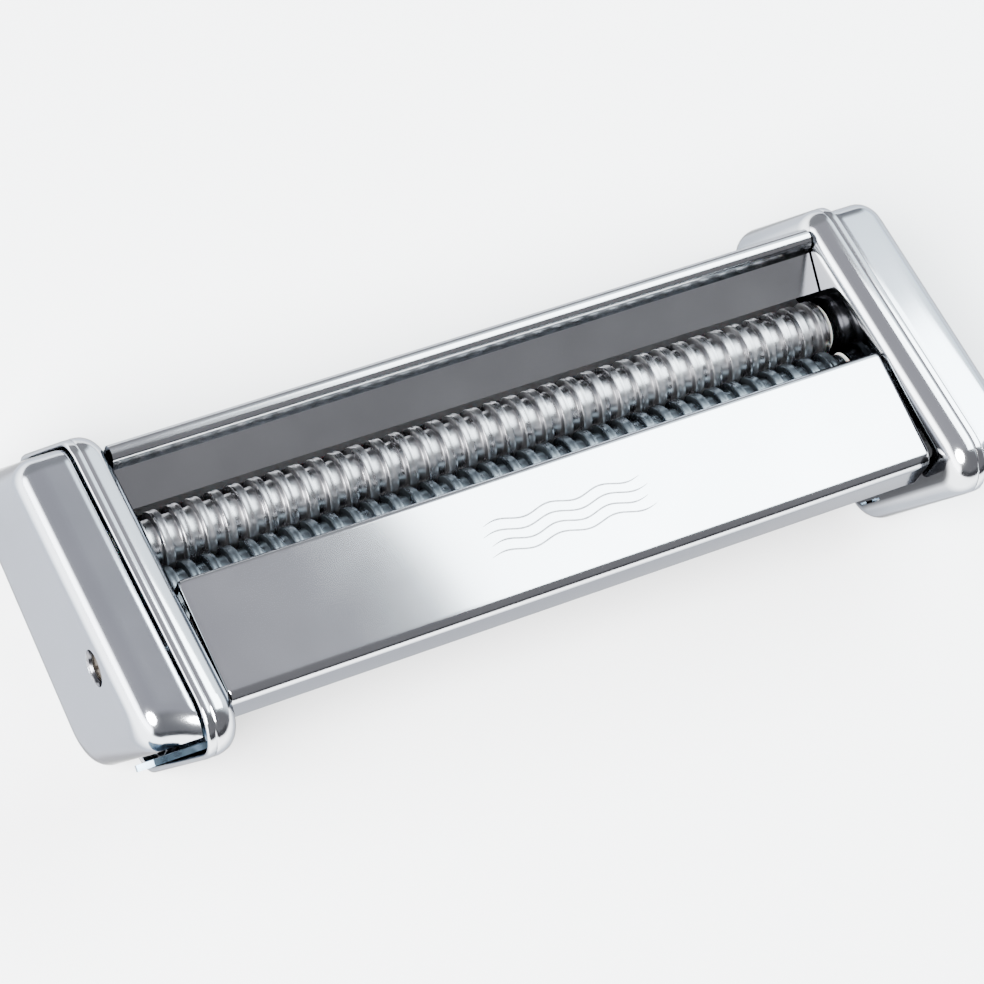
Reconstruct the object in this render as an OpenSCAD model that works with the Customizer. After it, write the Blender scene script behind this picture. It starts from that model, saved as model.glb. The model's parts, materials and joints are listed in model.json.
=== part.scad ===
/* [Working width] */
// Clear width between the end plates, the widest sheet of dough it takes
work_w = 151.2; // [120:1:180]
// Thickness of the pressed sheet of the end plates and covers
sheet_t = 1.2; // [0.8:0.1:1.4]
// Thickness of the flat bearing plates
bearing_t = 2; // [1.5:0.1:2.4]

/* [Side outline] */
// Length of the flat foot that the machine stands on
foot_len = 68.3; // [60:1:75]
// Height of the front top corner, before rounding
front_h = 48.3; // [46:0.5:52]
// Height of the back top corner, before rounding
back_h = 38.1; // [37:0.5:40]
// How far the front edge leans forward at its top
front_lean = 15; // [12:0.5:18]
// How far the back edge leans forward at its top
back_lean = 14.5; // [12:0.5:16]
// Corner radius of the end plates
corner_r = 7.5; // [6:0.5:8]

/* [End plates and caps] */
// Width of the rim that is folded out of each end plate
rim_w = 6.9; // [6:0.1:8]
// Bend radius between an end plate and its rim
rim_r = 4.5; // [3:0.1:4.8]
// Width of an end cap, from the rim to its outer face
cap_w = 10.9; // [10:0.1:13]
// Wall of an end cap
cap_wall = 1.6; // [1.2:0.1:2]
// Edge rounding of an end cap
cap_r = 4.5; // [2:0.5:5]
// Step from the rim down to the cap
cap_step = 1.3; // [1:0.1:2]
// Extra set-back of the cap's front, at its outer face
cap_front_step = 3.8; // [2:0.2:4.5]

/* [Guide slots] */
// Depth of the guide slot behind the front edge
slot_depth = 4; // [3.5:0.5:5]
// Length of the guide slot, up the front edge
slot_len = 45; // [30:1:46]
// How far the hook reaches out of the rim
hook_len = 12.4; // [8:0.2:13]

/* [Cutting rollers] */
// Distance between the two roller axes
axis_gap = 11.2; // [11:0.1:11.4]
// Radius over the cutting rings
crest_r = 6; // [5.8:0.1:6]
// Radius at the bottom of the grooves
root_r = 4.6; // [4.2:0.1:4.8]
// Distance from one cutting ring to the next
ring_pitch = 4.2; // [4:0.1:5]
// Width of one cutting ring
ring_w = 2; // [1.8:0.1:2]
// Radius of the roller shafts
shaft_r = 3.5; // [3.2:0.1:3.6]
// Number of teeth of each gear
gear_teeth = 16; // [14:2:18]
// Face width of the gears
gear_w = 6; // [4:0.5:6]

/* [Crank socket] */
// Radius of the round bore for the crank
crank_r = 4.05; // [3.9:0.05:4.2]
// Depth of the bore for the crank
crank_depth = 7.2; // [6:0.2:7.4]

/* [Covers] */
// Height of the front cover's flat top
cover_z = 40.9; // [40:0.1:42]
// Height of the front cover's skirt
skirt_h = 9.5; // [6:0.5:12]
// Gap between a cover and each end plate
cover_gap = 0.7; // [0.5:0.1:2]
// Gauge of the covers
cover_t = 1; // [0.8:0.1:1.2]

/* [Hidden] */
$fn = 64;
arc_steps = 8;
fold_steps = 6;

// Outline corners, seen from the right end as [back, up]
foot_shift = 7.56;
foot_y = foot_shift - foot_len / 2;
front_foot = [foot_y, 0];
back_foot = [foot_y + foot_len, 0];
front_top = [foot_y - front_lean, front_h];
back_top = [foot_y + foot_len - back_lean, back_h];
outline = [front_top, back_top, back_foot, front_foot];
lean_angle = atan(front_lean / front_h);

// Corner radii of a cap's side: front top, back top, back foot, front foot
cap_corners = [7, 7, 8.5, 11];

// Stations along the length, for the right end
wall_x = work_w / 2;
plate_x = wall_x + sheet_t;
inner_x = plate_x + bearing_t;
lip_x = wall_x + rim_w;
cap_x = lip_x + 0.2;
face_x = lip_x + cap_w;
cap_inner_x = face_x - cap_wall;

// Folded wall at the back of each guide slot, and its gap to the cap
guide_t = 1.2;
guide_gap = 0.2;
guide_low = 5;
guide_high = 35;
slot_end_x = face_x - 3.6;
guide_end_x = slot_end_x - guide_gap;

// Roller axes
axis_z = 23.4;
mid_y = 2.7;
drive_y = mid_y + axis_gap / 2;
idler_y = mid_y - axis_gap / 2;
ring_count = floor((work_w - 2) / ring_pitch) + 1;
roller_half = wall_x - 0.5;
ring_chamfer = 0.25;

// Bushes, clips and shaft ends
bush_r = 4.8;
flange_r = 5.4;
bush_out_x = inner_x + 2;
run_gap = 0.03;
clip_x = bush_out_x + 0.2;
clip_t = 0.8;
clip_groove_r = 2.8;
clip_r = 5.2;
end_r = 3;
shoulder_x = clip_x + clip_t + 0.4;
gear_x = shoulder_x + 0.1;
gear_clip_x = gear_x + gear_w + 0.1;
gear_clip_t = 0.6;
gear_clip_r = 4.4;
gear_groove_r = 2.3;
left_end_x = gear_clip_x + gear_clip_t + 0.8;
key_w = 1.6;

// Crank socket
socket_r = 6;
socket_gap = 0.5;
socket_end_x = face_x - 0.2;
socket_floor_x = socket_end_x - crank_depth;
pin_r = 0.9;
pin_half = socket_r - 0.3;
pin_x = (shoulder_x + socket_floor_x) / 2;

// Tie rods and combs
rod_r = 3;
rod_z = 15.5;
rod_reach = 16.2;
screw_r = 1.7;
screw_gap = 0.3;
thread_gap = 0.05;
rod_thread = 8;
rod_head_r = 3.4;
rod_head_h = 1.9;
comb_gap = 0.3;

// Rear lip of the front cover, rail of the rear guide, and foot of its skirt
lip_y = -5.7;
rail = [22.7, 35.6];
rail_r = 1.9;
guide_foot_z = 22;

// Cap screw
screw_y = -14.4;
screw_z = 33.7;
post_r = 3.2;
post_end_x = cap_inner_x - 1.8;
dimple_r = 3.5;
dimple_floor_x = face_x - 1.9;
cap_thread = 7;
cap_head_r = 2.9;
cap_head_h = 1.7;

// Gears
gear_module = axis_gap / gear_teeth;
pressure = 20;
backlash = 4;
addendum = 0.85;
dedendum = 1.2;

// ---- outline helpers ----

function unit(v) = v / norm(v);
function turned(v, a) = [v[0] * cos(a) - v[1] * sin(a), v[0] * sin(a) + v[1] * cos(a)];

// Where the lines p + s u and q + t v cross
function crossing(p, u, q, v) = p + u * cross(q - p, v) / cross(u, v);

// The outline with edge i (from corner i to the next) moved in by d[i]
function moved_in(p, d) =
    let (n = len(p),
         dir = [for (i = [0:n - 1]) unit(p[(i + 1) % n] - p[i])],
         start = [for (i = [0:n - 1]) p[i] + turned(dir[i], -90) * d[i]])
    [for (i = [0:n - 1])
        let (j = (i + n - 1) % n) crossing(start[j], dir[j], start[i], dir[i])];

// Points of the rounding of corner p between its neighbours a and b
function corner_arc(a, p, b, r) =
    let (u = unit(a - p), v = unit(b - p),
         half = acos(u * v) / 2,
         centre = p + unit(u + v) * r / sin(half),
         spoke = p + u * r / tan(half) - centre,
         sweep = -sign(cross(u, v)) * (180 - 2 * half))
    [for (k = [0:arc_steps]) centre + turned(spoke, sweep * k / arc_steps)];

// A closed outline with corner i rounded to r[i]
function rounded(p, r) =
    let (n = len(p))
    [for (i = [0:n - 1]) each corner_arc(p[(i + n - 1) % n], p[i], p[(i + 1) % n], r[i])];

// The end plate's outline moved in by d all round, with its corners to match
function plate_outline(d) =
    rounded(moved_in(outline, [d, d, d, d]), [for (c = outline) corner_r - d]);

// The cap's outline: set back by d all round, and by f at the front
function cap_outline(d, f) =
    rounded(moved_in(outline, [d, d, d, f]), [for (r = cap_corners) max(r - 0.6 * d, 1.5)]);

// ---- placing helpers ----

// A slab of a side outline, from x0 to x1 along the length
module slab(x0, x1, points) {
    translate([x0, 0, 0])
        rotate([90, 0, 90])
            linear_extrude(x1 - x0)
                polygon(points);
}

// A rod along the length, from x0 to x1
module rod(x0, x1, y, z, r) {
    translate([x0, y, z])
        rotate([0, 90, 0])
            cylinder(h = x1 - x0, r = r);
}

// Draws its children for the right end, or mirrored for the left end
module at_end(side) {
    if (side > 0) {
        children();
    } else {
        mirror([1, 0, 0]) children();
    }
}

// A frame whose z runs up the front edge and whose y runs in from it
module on_front() {
    translate([0, foot_y, 0])
        rotate([lean_angle, 0, 0])
            children();
}

// ---- fixed end parts ----

// A pressed tray: its bottom at x, and a fold of radius r up to its side, which is in by d
module tray(x, d, r) {
    for (k = [0:fold_steps - 1]) {
        slab(x + r * (1 - cos(90 * k / fold_steps)), lip_x,
             plate_outline(d + r * (1 - sin(90 * (k + 0.5) / fold_steps))));
    }
    slab(x + r, lip_x + 1, plate_outline(d));
}

// Holes for the bushes and the tie rod screws
module plate_holes() {
    for (y = [drive_y, idler_y]) {
        rod(wall_x - 1, inner_x + 1, y, axis_z, bush_r);
    }
    for (s = [-1, 1]) {
        rod(wall_x - 1, inner_x + 1, mid_y + s * rod_reach, rod_z, screw_r + screw_gap);
    }
}

// The slit low in the front of an end plate
module plate_slit() {
    slit_in = 3.9;
    slit_w = 0.5;
    slit_low = 4.4;
    slit_h = 8.2;
    on_front()
        translate([wall_x - 1, slit_in, slit_low])
            cube([sheet_t + 1, slit_w, slit_h]);
}

module end_plate(side) {
    color("gainsboro")
        at_end(side)
            difference() {
                tray(wall_x, 0, rim_r);
                tray(plate_x, sheet_t, rim_r - sheet_t);
                slab(lip_x, lip_x + 2, plate_outline(-1));
                plate_holes();
                plate_slit();
            }
}

// Hook that catches the rail of the machine, in the frame of the front edge
module hook() {
    hook_low = 36.5;
    hook_high = 40.5;
    hook_in = 1.9;
    hook_t = 1.2;
    lug_x = inner_x - 0.4;
    lug_t = 2;
    tip_x = lip_x + hook_len;
    taper_len = 7.6;
    nose_len = 3;
    nose_drop = 1;
    nose_h = 1;
    translate([0, hook_in + hook_t, 0])
        rotate([90, 0, 0])
            linear_extrude(hook_t)
                polygon([[lug_x, hook_low], [tip_x - taper_len, hook_low],
                         [tip_x, hook_high - nose_drop - nose_h],
                         [tip_x, hook_high - nose_drop],
                         [tip_x - nose_len, hook_high], [lug_x, hook_high]]);
    // Lug that carries it on the bearing plate
    translate([lug_x, hook_in, hook_low])
        cube([lug_t, rim_r + 2 - hook_in, hook_high - hook_low]);
}

// Folded wall at the back of the guide slot, in the frame of the front edge
module guide_wall() {
    translate([inner_x - 1, slot_depth, guide_low])
        cube([guide_end_x - inner_x + 1, guide_t, guide_high - guide_low]);
}

module bearing_plate(side) {
    color("steelblue")
        at_end(side) {
            difference() {
                slab(plate_x, inner_x, plate_outline(rim_r + 0.1));
                plate_holes();
            }
            on_front() {
                hook();
                guide_wall();
            }
        }
}

// Solid outer form of a cap: its front draws in and its outer edges are rounded, in fine steps
module cap_form() {
    side_steps = 3;
    edge_steps = 5;
    side_w = face_x - cap_r - cap_x;
    for (k = [1:side_steps]) {
        slab(cap_x, cap_x + side_w * k / side_steps,
             cap_outline(cap_step, cap_step + (cap_front_step - cap_step) * k / side_steps));
    }
    for (k = [1:edge_steps]) {
        inset = cap_r * (1 - cos(90 * (k - 0.5) / edge_steps));
        slab(cap_x, face_x - cap_r * (1 - sin(90 * k / edge_steps)),
             cap_outline(cap_step + inset, cap_front_step + inset));
    }
}

// The hollow of a cap, which leaves a boss for the post of its screw
module cap_hollow() {
    inside = cap_step + cap_wall;
    front_inside = cap_front_step + cap_wall;
    edge_room = 1.6;
    boss_r = 4.8;
    difference() {
        union() {
            slab(cap_x - 1, face_x - cap_r, cap_outline(inside, front_inside));
            slab(face_x - cap_r - 1, cap_inner_x,
                 cap_outline(inside + edge_room, front_inside + edge_room));
        }
        rod(post_end_x, face_x, screw_y, screw_z, boss_r);
    }
}

// A cut of a depth into the front edge, from below the foot to a height
module slot_cut(depth, high) {
    below = 5;
    translate([cap_x - 1, -1, -below])
        cube([slot_end_x - cap_x + 1, depth + 1, high + below]);
}

module end_cap(side) {
    color("silver")
        at_end(side)
            difference() {
                cap_form();
                cap_hollow();
                // Guide slot, open at the front and at the foot, and room for its folded wall
                on_front() {
                    slot_cut(slot_depth, slot_len);
                    slot_cut(slot_depth + guide_t + guide_gap, guide_high + guide_gap);
                }
                // Screw hole and its dimple
                rod(post_end_x - 1, face_x, screw_y, screw_z, screw_r);
                rod(dimple_floor_x, face_x + 1, screw_y, screw_z, dimple_r);
                if (side > 0) {
                    rod(cap_inner_x - 1, face_x + 1, drive_y, axis_z, socket_r + socket_gap);
                }
            }
}

module bush(side, y) {
    color("ivory")
        at_end(side)
            difference() {
                union() {
                    rod(wall_x, inner_x, y, axis_z, bush_r);
                    rod(inner_x, bush_out_x, y, axis_z, flange_r);
                }
                rod(wall_x - 1, bush_out_x + 1, y, axis_z, shaft_r + run_gap);
            }
}

module cap_post(side) {
    color("dimgray")
        at_end(side)
            difference() {
                rod(inner_x, post_end_x, screw_y, screw_z, post_r);
                rod(post_end_x - cap_thread - 1, post_end_x + 1, screw_y, screw_z, screw_r);
            }
}

// Pan head screw with a cross recess, its head bearing at x
module pan_screw(x, shank, head_r, head_h, y, z) {
    recess = 0.5 * head_r;
    recess_w = 0.7;
    difference() {
        union() {
            rod(x - shank, x, y, z, screw_r - thread_gap);
            translate([x, y, z])
                rotate([0, 90, 0])
                    rotate_extrude()
                        polygon([[0, 0], [head_r, 0], [head_r, 0.35 * head_h],
                                 [0.92 * head_r, 0.6 * head_h], [0.7 * head_r, 0.85 * head_h],
                                 [0.4 * head_r, head_h], [0, head_h]]);
        }
        for (a = [45, 135]) {
            translate([x + 0.35 * head_h, y, z])
                rotate([a, 0, 0])
                    translate([0, -recess, -recess_w / 2])
                        cube([head_h, 2 * recess, recess_w]);
        }
    }
}

module cap_screw(side) {
    color("lightgray")
        at_end(side)
            pan_screw(dimple_floor_x, dimple_floor_x - post_end_x + cap_thread,
                      cap_head_r, cap_head_h, screw_y, screw_z);
}

// ---- covers, combs and tie rods ----

// Band of gauge t that follows a line of points, to the left of its direction
function band(line, t) =
    let (n = len(line),
         dir = [for (i = [0:n - 2]) unit(line[i + 1] - line[i])],
         side = [for (i = [0:n - 1])
                    let (a = turned(dir[max(i - 1, 0)], 90), b = turned(dir[min(i, n - 2)], 90))
                    (a + b) / (1 + a * b)])
    concat(line, [for (i = [n - 1:-1:0]) line[i] + side[i] * t]);

// A bend of radius r about c, from angle a0 to a1
function bend(c, r, a0, a1) = [for (k = [0:6]) c + turned([r, 0], a0 + (a1 - a0) * k / 6)];

// The front cover's line: its rear lip, its flat top and its front skirt
function front_cover_line() =
    let (lip_h = 4, lip_r = 1.5, edge_r = 2.5, edge_out = 4.2, edge_y = foot_y - edge_out)
    concat([[lip_y, cover_z - lip_h]],
           bend([lip_y - lip_r, cover_z - lip_r], lip_r, 0, 90),
           bend([edge_y + edge_r, cover_z - edge_r], edge_r, 90, 180),
           [[edge_y, cover_z - skirt_h]]);

// The rear guide's line: its sloping plate, the rail along its top and its back skirt
function rear_guide_line() =
    let (low = [13.3, 30.3], under_rail = [20.3, 33.9])
    concat([low], [under_rail],
           bend(rail, rail_r, 165, 0),
           [[rail[0] + rail_r, guide_foot_z]]);

// Tabs that carry a cover on the end plates
module cover_tabs(y, z, size) {
    for (x = [-wall_x, wall_x - cover_gap - 1]) {
        translate([x, y, z]) cube([cover_gap + 1, size[0], size[1]]);
    }
}

module front_cover() {
    half = wall_x - cover_gap;
    tab_y = -26;
    tab_size = [8, cover_t];
    color("whitesmoke") {
        slab(-half, half, band(front_cover_line(), cover_t));
        cover_tabs(tab_y, cover_z - cover_t, tab_size);
    }
}

module rear_guide() {
    half = wall_x - cover_gap;
    tab_size = [cover_t, 8];
    color("gray") {
        slab(-half, half, band(rear_guide_line(), -cover_t));
        cover_tabs(rail[0] + rail_r - cover_t, guide_foot_z + 2, tab_size);
    }
}

// Comb for the roller at y, on the side s of the rollers
module comb(y, s, rings, first) {
    half = wall_x - 1;
    reach = y + s * (rod_reach - axis_gap / 2);
    block = 3.8;
    shoulder = 6.4;
    shoulder_drop = 0.8;
    tip_reach = 0.6;
    tip_drop = 7.8;
    heel = 3.2;
    heel_drop = 3;
    section = [[reach + s * block, rod_z - block], [reach + s * block, rod_z + block],
               [y + s * shoulder, axis_z - shoulder_drop], [y, axis_z],
               [y - s * tip_reach, axis_z - tip_drop], [y + s * heel, rod_z - heel_drop]];
    color("dimgray")
        difference() {
            slab(-half, half, section);
            rod(-half - 1, half + 1, y, axis_z, root_r + comb_gap);
            rod(-half - 1, half + 1, reach, rod_z, rod_r);
            for (i = [0:rings - 1]) {
                x = first + i * ring_pitch;
                rod(x - ring_w / 2 - comb_gap, x + ring_w / 2 + comb_gap,
                    y, axis_z, crest_r + comb_gap);
            }
        }
}

module front_comb() {
    comb(idler_y, -1, ring_count - 1, -(ring_count - 2) / 2 * ring_pitch);
}

module rear_comb() {
    comb(drive_y, 1, ring_count, -(ring_count - 1) / 2 * ring_pitch);
}

module tie_rod(s) {
    color("silver")
        difference() {
            rod(-wall_x, wall_x, mid_y + s * rod_reach, rod_z, rod_r);
            for (side = [-1, 1]) {
                at_end(side)
                    rod(wall_x - rod_thread - 2, wall_x + 1,
                        mid_y + s * rod_reach, rod_z, screw_r);
            }
        }
}

module tie_rod_screws() {
    color("lightgray")
        for (side = [-1, 1]) {
            for (s = [-1, 1]) {
                at_end(side)
                    pan_screw(inner_x, inner_x - wall_x + rod_thread,
                              rod_head_r, rod_head_h, mid_y + s * rod_reach, rod_z);
            }
        }
}

// ---- turning parts ----

// Shaft from its left end to x1, with grooves for the clips
module shaft(y, x1) {
    color("darkgray")
        difference() {
            union() {
                rod(-shoulder_x, min(x1, shoulder_x), y, axis_z, shaft_r);
                rod(-left_end_x, x1, y, axis_z, end_r);
            }
            for (side = [-1, 1]) {
                at_end(side) groove(clip_x, clip_t, clip_groove_r, y);
            }
            at_end(-1) groove(gear_clip_x, gear_clip_t, gear_groove_r, y);
            at_end(-1) key_block(y);
        }
}

module groove(x, w, r, y) {
    difference() {
        rod(x, x + w, y, axis_z, shaft_r + 1);
        rod(x - 1, x + w + 1, y, axis_z, r);
    }
}

// The space of a key, for the right end
module key_block(y) {
    translate([gear_x, y - key_w / 2, axis_z + end_r - key_w / 2])
        cube([gear_w, key_w, key_w]);
}

module gear_key(y) {
    color("dimgray") at_end(-1) key_block(y);
}

// Open retaining ring in a groove of radius r
module clip(x, t, r, out_r, y) {
    mouth = 2.8;
    difference() {
        rod(x, x + t, y, axis_z, out_r);
        rod(x - 1, x + t + 1, y, axis_z, r);
        translate([x - 1, y - mouth / 2, axis_z - out_r - 1]) cube([t + 2, mouth, out_r]);
    }
}

module clips(y) {
    color("goldenrod") {
        for (side = [-1, 1]) {
            at_end(side) clip(clip_x, clip_t, clip_groove_r, clip_r, y);
        }
        at_end(-1) clip(gear_clip_x, gear_clip_t, gear_groove_r, gear_clip_r, y);
    }
}

// Half section of a roller with `rings` cutting rings centred on its length
function roller_section(rings) =
    let (first = -(rings - 1) / 2 * ring_pitch, h = ring_w / 2, c = ring_chamfer)
    concat([[shaft_r, -roller_half], [root_r, -roller_half]],
           [for (i = [0:rings - 1])
               let (x = first + i * ring_pitch)
               each [[root_r, x - h], [crest_r - c, x - h], [crest_r, x - h + c],
                     [crest_r, x + h - c], [crest_r - c, x + h], [root_r, x + h]]],
           [[root_r, roller_half], [shaft_r, roller_half]]);

module roller(y, rings) {
    color("darkgray")
        translate([0, y, axis_z])
            rotate([0, 90, 0])
                rotate_extrude()
                    polygon(roller_section(rings));
}

// Involute flank: the angle of the flank at radius r, and the outline of one tooth
function roll(r, base) = sqrt(max(pow(r / base, 2) - 1, 0));
function flank(r, base) = roll(r, base) * 180 / PI - atan(roll(r, base));
function tooth(a) =
    let (pitch = axis_gap / 2, base = pitch * cos(pressure),
         tip = pitch + addendum * gear_module, root = pitch - dedendum * gear_module,
         half = 90 / gear_teeth - backlash / gear_teeth + flank(pitch, base),
         radii = [for (k = [0:3]) base + (tip - base) * k / 3])
    concat([turned([root, 0], a - half)],
           [for (r = radii) turned([r, 0], a - half + flank(r, base))],
           [for (k = [3:-1:0]) turned([radii[k], 0], a + half - flank(radii[k], base))],
           [turned([root, 0], a + half)]);

module gear(y, phase) {
    color("dimgray")
        at_end(-1)
            difference() {
                translate([0, y, axis_z])
                    slab(gear_x, gear_x + gear_w,
                         [for (i = [0:gear_teeth - 1])
                             each tooth(phase + i * 360 / gear_teeth)]);
                rod(gear_x - 1, gear_x + gear_w + 1, y, axis_z, end_r);
                key_block(y);
            }
}

module crank_socket() {
    slot = 1.6;
    slot_r = 5.1;
    color("gray")
        difference() {
            rod(shoulder_x, socket_end_x, drive_y, axis_z, socket_r);
            rod(shoulder_x - 1, socket_end_x, drive_y, axis_z, end_r);
            rod(socket_floor_x, socket_end_x + 1, drive_y, axis_z, crank_r);
            translate([socket_floor_x, drive_y - slot / 2, axis_z - slot_r])
                cube([crank_depth + 1, slot, 2 * slot_r]);
            translate([pin_x, drive_y, axis_z - socket_r - 1])
                cylinder(h = 2 * socket_r + 2, r = pin_r);
        }
}

module crank_socket_pin() {
    color("dimgray")
        translate([pin_x, drive_y, axis_z - pin_half])
            cylinder(h = 2 * pin_half, r = pin_r);
}

module drive_shaft() {
    difference() {
        shaft(drive_y, socket_floor_x);
        translate([pin_x, drive_y, axis_z - socket_r])
            cylinder(h = 2 * socket_r, r = pin_r);
    }
}

end_plate(-1);  // left_end_plate
end_plate(1);  // right_end_plate
bearing_plate(-1);  // left_bearing_plate
bearing_plate(1);  // right_bearing_plate
end_cap(-1);  // left_end_cap
end_cap(1);  // right_end_cap
front_cover();
rear_guide();
front_comb();
rear_comb();
tie_rod(-1);  // front_tie_rod
tie_rod(1);  // rear_tie_rod
tie_rod_screws();
bush(-1, drive_y);  // left_drive_bush
bush(1, drive_y);  // right_drive_bush
bush(-1, idler_y);  // left_idler_bush
bush(1, idler_y);  // right_idler_bush
cap_post(-1);  // left_cap_post
cap_post(1);  // right_cap_post
cap_screw(-1);  // left_cap_screw
cap_screw(1);  // right_cap_screw
drive_shaft();
roller(drive_y, ring_count);  // drive_roller
gear(drive_y, 0);  // drive_gear
gear_key(drive_y);  // drive_gear_key
clips(drive_y);  // drive_clips
crank_socket();
crank_socket_pin();
shaft(idler_y, shoulder_x + 0.6);  // idler_shaft
roller(idler_y, ring_count - 1);  // idler_roller
gear(idler_y, 180 / gear_teeth);  // idler_gear
gear_key(idler_y);  // idler_gear_key
clips(idler_y);  // idler_clips
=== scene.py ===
import json
import math

import bmesh
import bpy
from mathutils import Matrix, Vector


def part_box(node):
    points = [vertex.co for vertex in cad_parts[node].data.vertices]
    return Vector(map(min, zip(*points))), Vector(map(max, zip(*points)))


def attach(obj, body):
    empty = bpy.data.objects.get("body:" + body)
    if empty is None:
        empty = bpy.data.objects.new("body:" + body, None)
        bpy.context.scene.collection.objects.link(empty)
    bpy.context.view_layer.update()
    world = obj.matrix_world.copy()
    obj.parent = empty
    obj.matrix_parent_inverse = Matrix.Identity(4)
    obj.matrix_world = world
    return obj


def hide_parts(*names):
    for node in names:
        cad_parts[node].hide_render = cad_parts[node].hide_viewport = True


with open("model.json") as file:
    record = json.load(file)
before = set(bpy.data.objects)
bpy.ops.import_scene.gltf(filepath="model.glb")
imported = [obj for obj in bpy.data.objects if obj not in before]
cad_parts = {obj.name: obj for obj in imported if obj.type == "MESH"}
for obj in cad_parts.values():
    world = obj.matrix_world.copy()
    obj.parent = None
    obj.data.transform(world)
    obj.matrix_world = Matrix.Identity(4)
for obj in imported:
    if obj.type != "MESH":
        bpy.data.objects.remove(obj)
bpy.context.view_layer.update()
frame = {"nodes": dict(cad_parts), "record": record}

MM = 0.001
NODES = frame["nodes"]
scene = bpy.context.scene

# ---------------------------------------------------------------- places, all from the frame

WALL_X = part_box("right_end_plate")[0].x            # inner face of the right end plate
LIP_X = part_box("right_end_plate")[1].x             # outer edge of its rim
CAP_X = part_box("right_end_cap")[0].x               # where the cap starts
FACE_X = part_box("right_end_cap")[1].x              # outer face of the cap
ROLLER_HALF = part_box("drive_roller")[1].x          # half the length of a roller
CREST_R = (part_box("drive_roller")[1].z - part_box("drive_roller")[0].z) / 2
COVER_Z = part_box("front_cover")[1].z               # top face of the front cover
COVER_FRONT_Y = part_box("front_cover")[0].y
COVER_BACK_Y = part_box("front_cover")[1].y


def axis_of(node):
    """The y and the z of the middle of a node's box."""
    low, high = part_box(node)
    return (low.y + high.y) / 2, (low.z + high.z) / 2


SHAFT_Z = axis_of("drive_shaft")[1]
DRIVE_Y = axis_of("drive_roller")[0]
IDLER_Y = axis_of("idler_roller")[0]
SCREW_Y, SCREW_Z = axis_of("right_cap_screw")

# Side outline, the same as the model's
FOOT_LEN = 68.3 * MM
FRONT_H = 48.3 * MM
BACK_H = 38.1 * MM
FRONT_LEAN = 15.0 * MM
BACK_LEAN = 14.5 * MM
CORNER_R = 7.5 * MM
CAP_CORNERS = (7.0 * MM, 7.0 * MM, 8.5 * MM, 11.0 * MM)
CORNER_STEPS = 8
FOOT_SHIFT = 7.56 * MM
FOOT_Y = -FOOT_LEN / 2 + FOOT_SHIFT
LEAN = math.atan(FRONT_LEAN / FRONT_H)

# End plate: its gauge, the bend of its fold and the groove round its rim
SHEET_T = 1.2 * MM
FOLD_R = 4.5 * MM
GROOVE_IN = 1.75 * MM
GROOVE_W = 0.7 * MM
GROOVE_DEPTH = 0.14 * MM

# End cap: its guide slot, and how deep the screw's seat lies below its face
SLOT_DEPTH = 4.0 * MM
SLOT_LEN = 45.0 * MM
SEAT_DEPTH = 1.9 * MM


# ---------------------------------------------------------------- camera, stage and lights

# Radiance of the surroundings, as linear red, green and blue
SKY_LEFT = (0.58, 0.58, 0.64)
SKY_RIGHT = (2.6, 2.95, 3.2)
SKY_BACK = (0.42, 0.43, 0.46)
SKY_FRONT = (0.27, 0.27, 0.29)
SKY_LOW_FRONT = (0.10, 0.10, 0.11)
SKY_LOW_LEFT = (12.0, 12.2, 12.5)


def add_camera():
    """The camera: high on the left, rolled, and with a long lens."""
    place = Vector((-0.27538, -0.20918, 0.64005))
    data = bpy.data.cameras.new("camera")
    data.sensor_width = 36.0
    data.lens = 135.3
    cam = bpy.data.objects.new("camera", data)
    scene.collection.objects.link(cam)
    right = Vector((0.8765, -0.4129, 0.2473)).normalized()
    forward = Vector((0.3848, 0.2928, -0.8753)).normalized()
    up = right.cross(forward).normalized()
    right = forward.cross(up).normalized()
    turn = Matrix((right, up, -forward)).transposed()
    cam.matrix_world = Matrix.Translation(place) @ turn.to_4x4()
    scene.camera = cam


def add_floor():
    """A wide pale floor that the attachment stands on."""
    half = 3.0
    mesh = bpy.data.meshes.new("floor")
    mesh.from_pydata([(-half, -half, 0), (half, -half, 0), (half, half, 0), (-half, half, 0)],
                     [], [(0, 1, 2, 3)])
    floor = bpy.data.objects.new("floor", mesh)
    scene.collection.objects.link(floor)
    mat = bpy.data.materials.new("floor_white")
    mat.use_nodes = True
    shader = mat.node_tree.nodes["Principled BSDF"]
    shader.inputs["Base Color"].default_value = (0.9, 0.9, 0.9, 1)
    shader.inputs["Roughness"].default_value = 0.9
    mesh.materials.append(mat)


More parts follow.
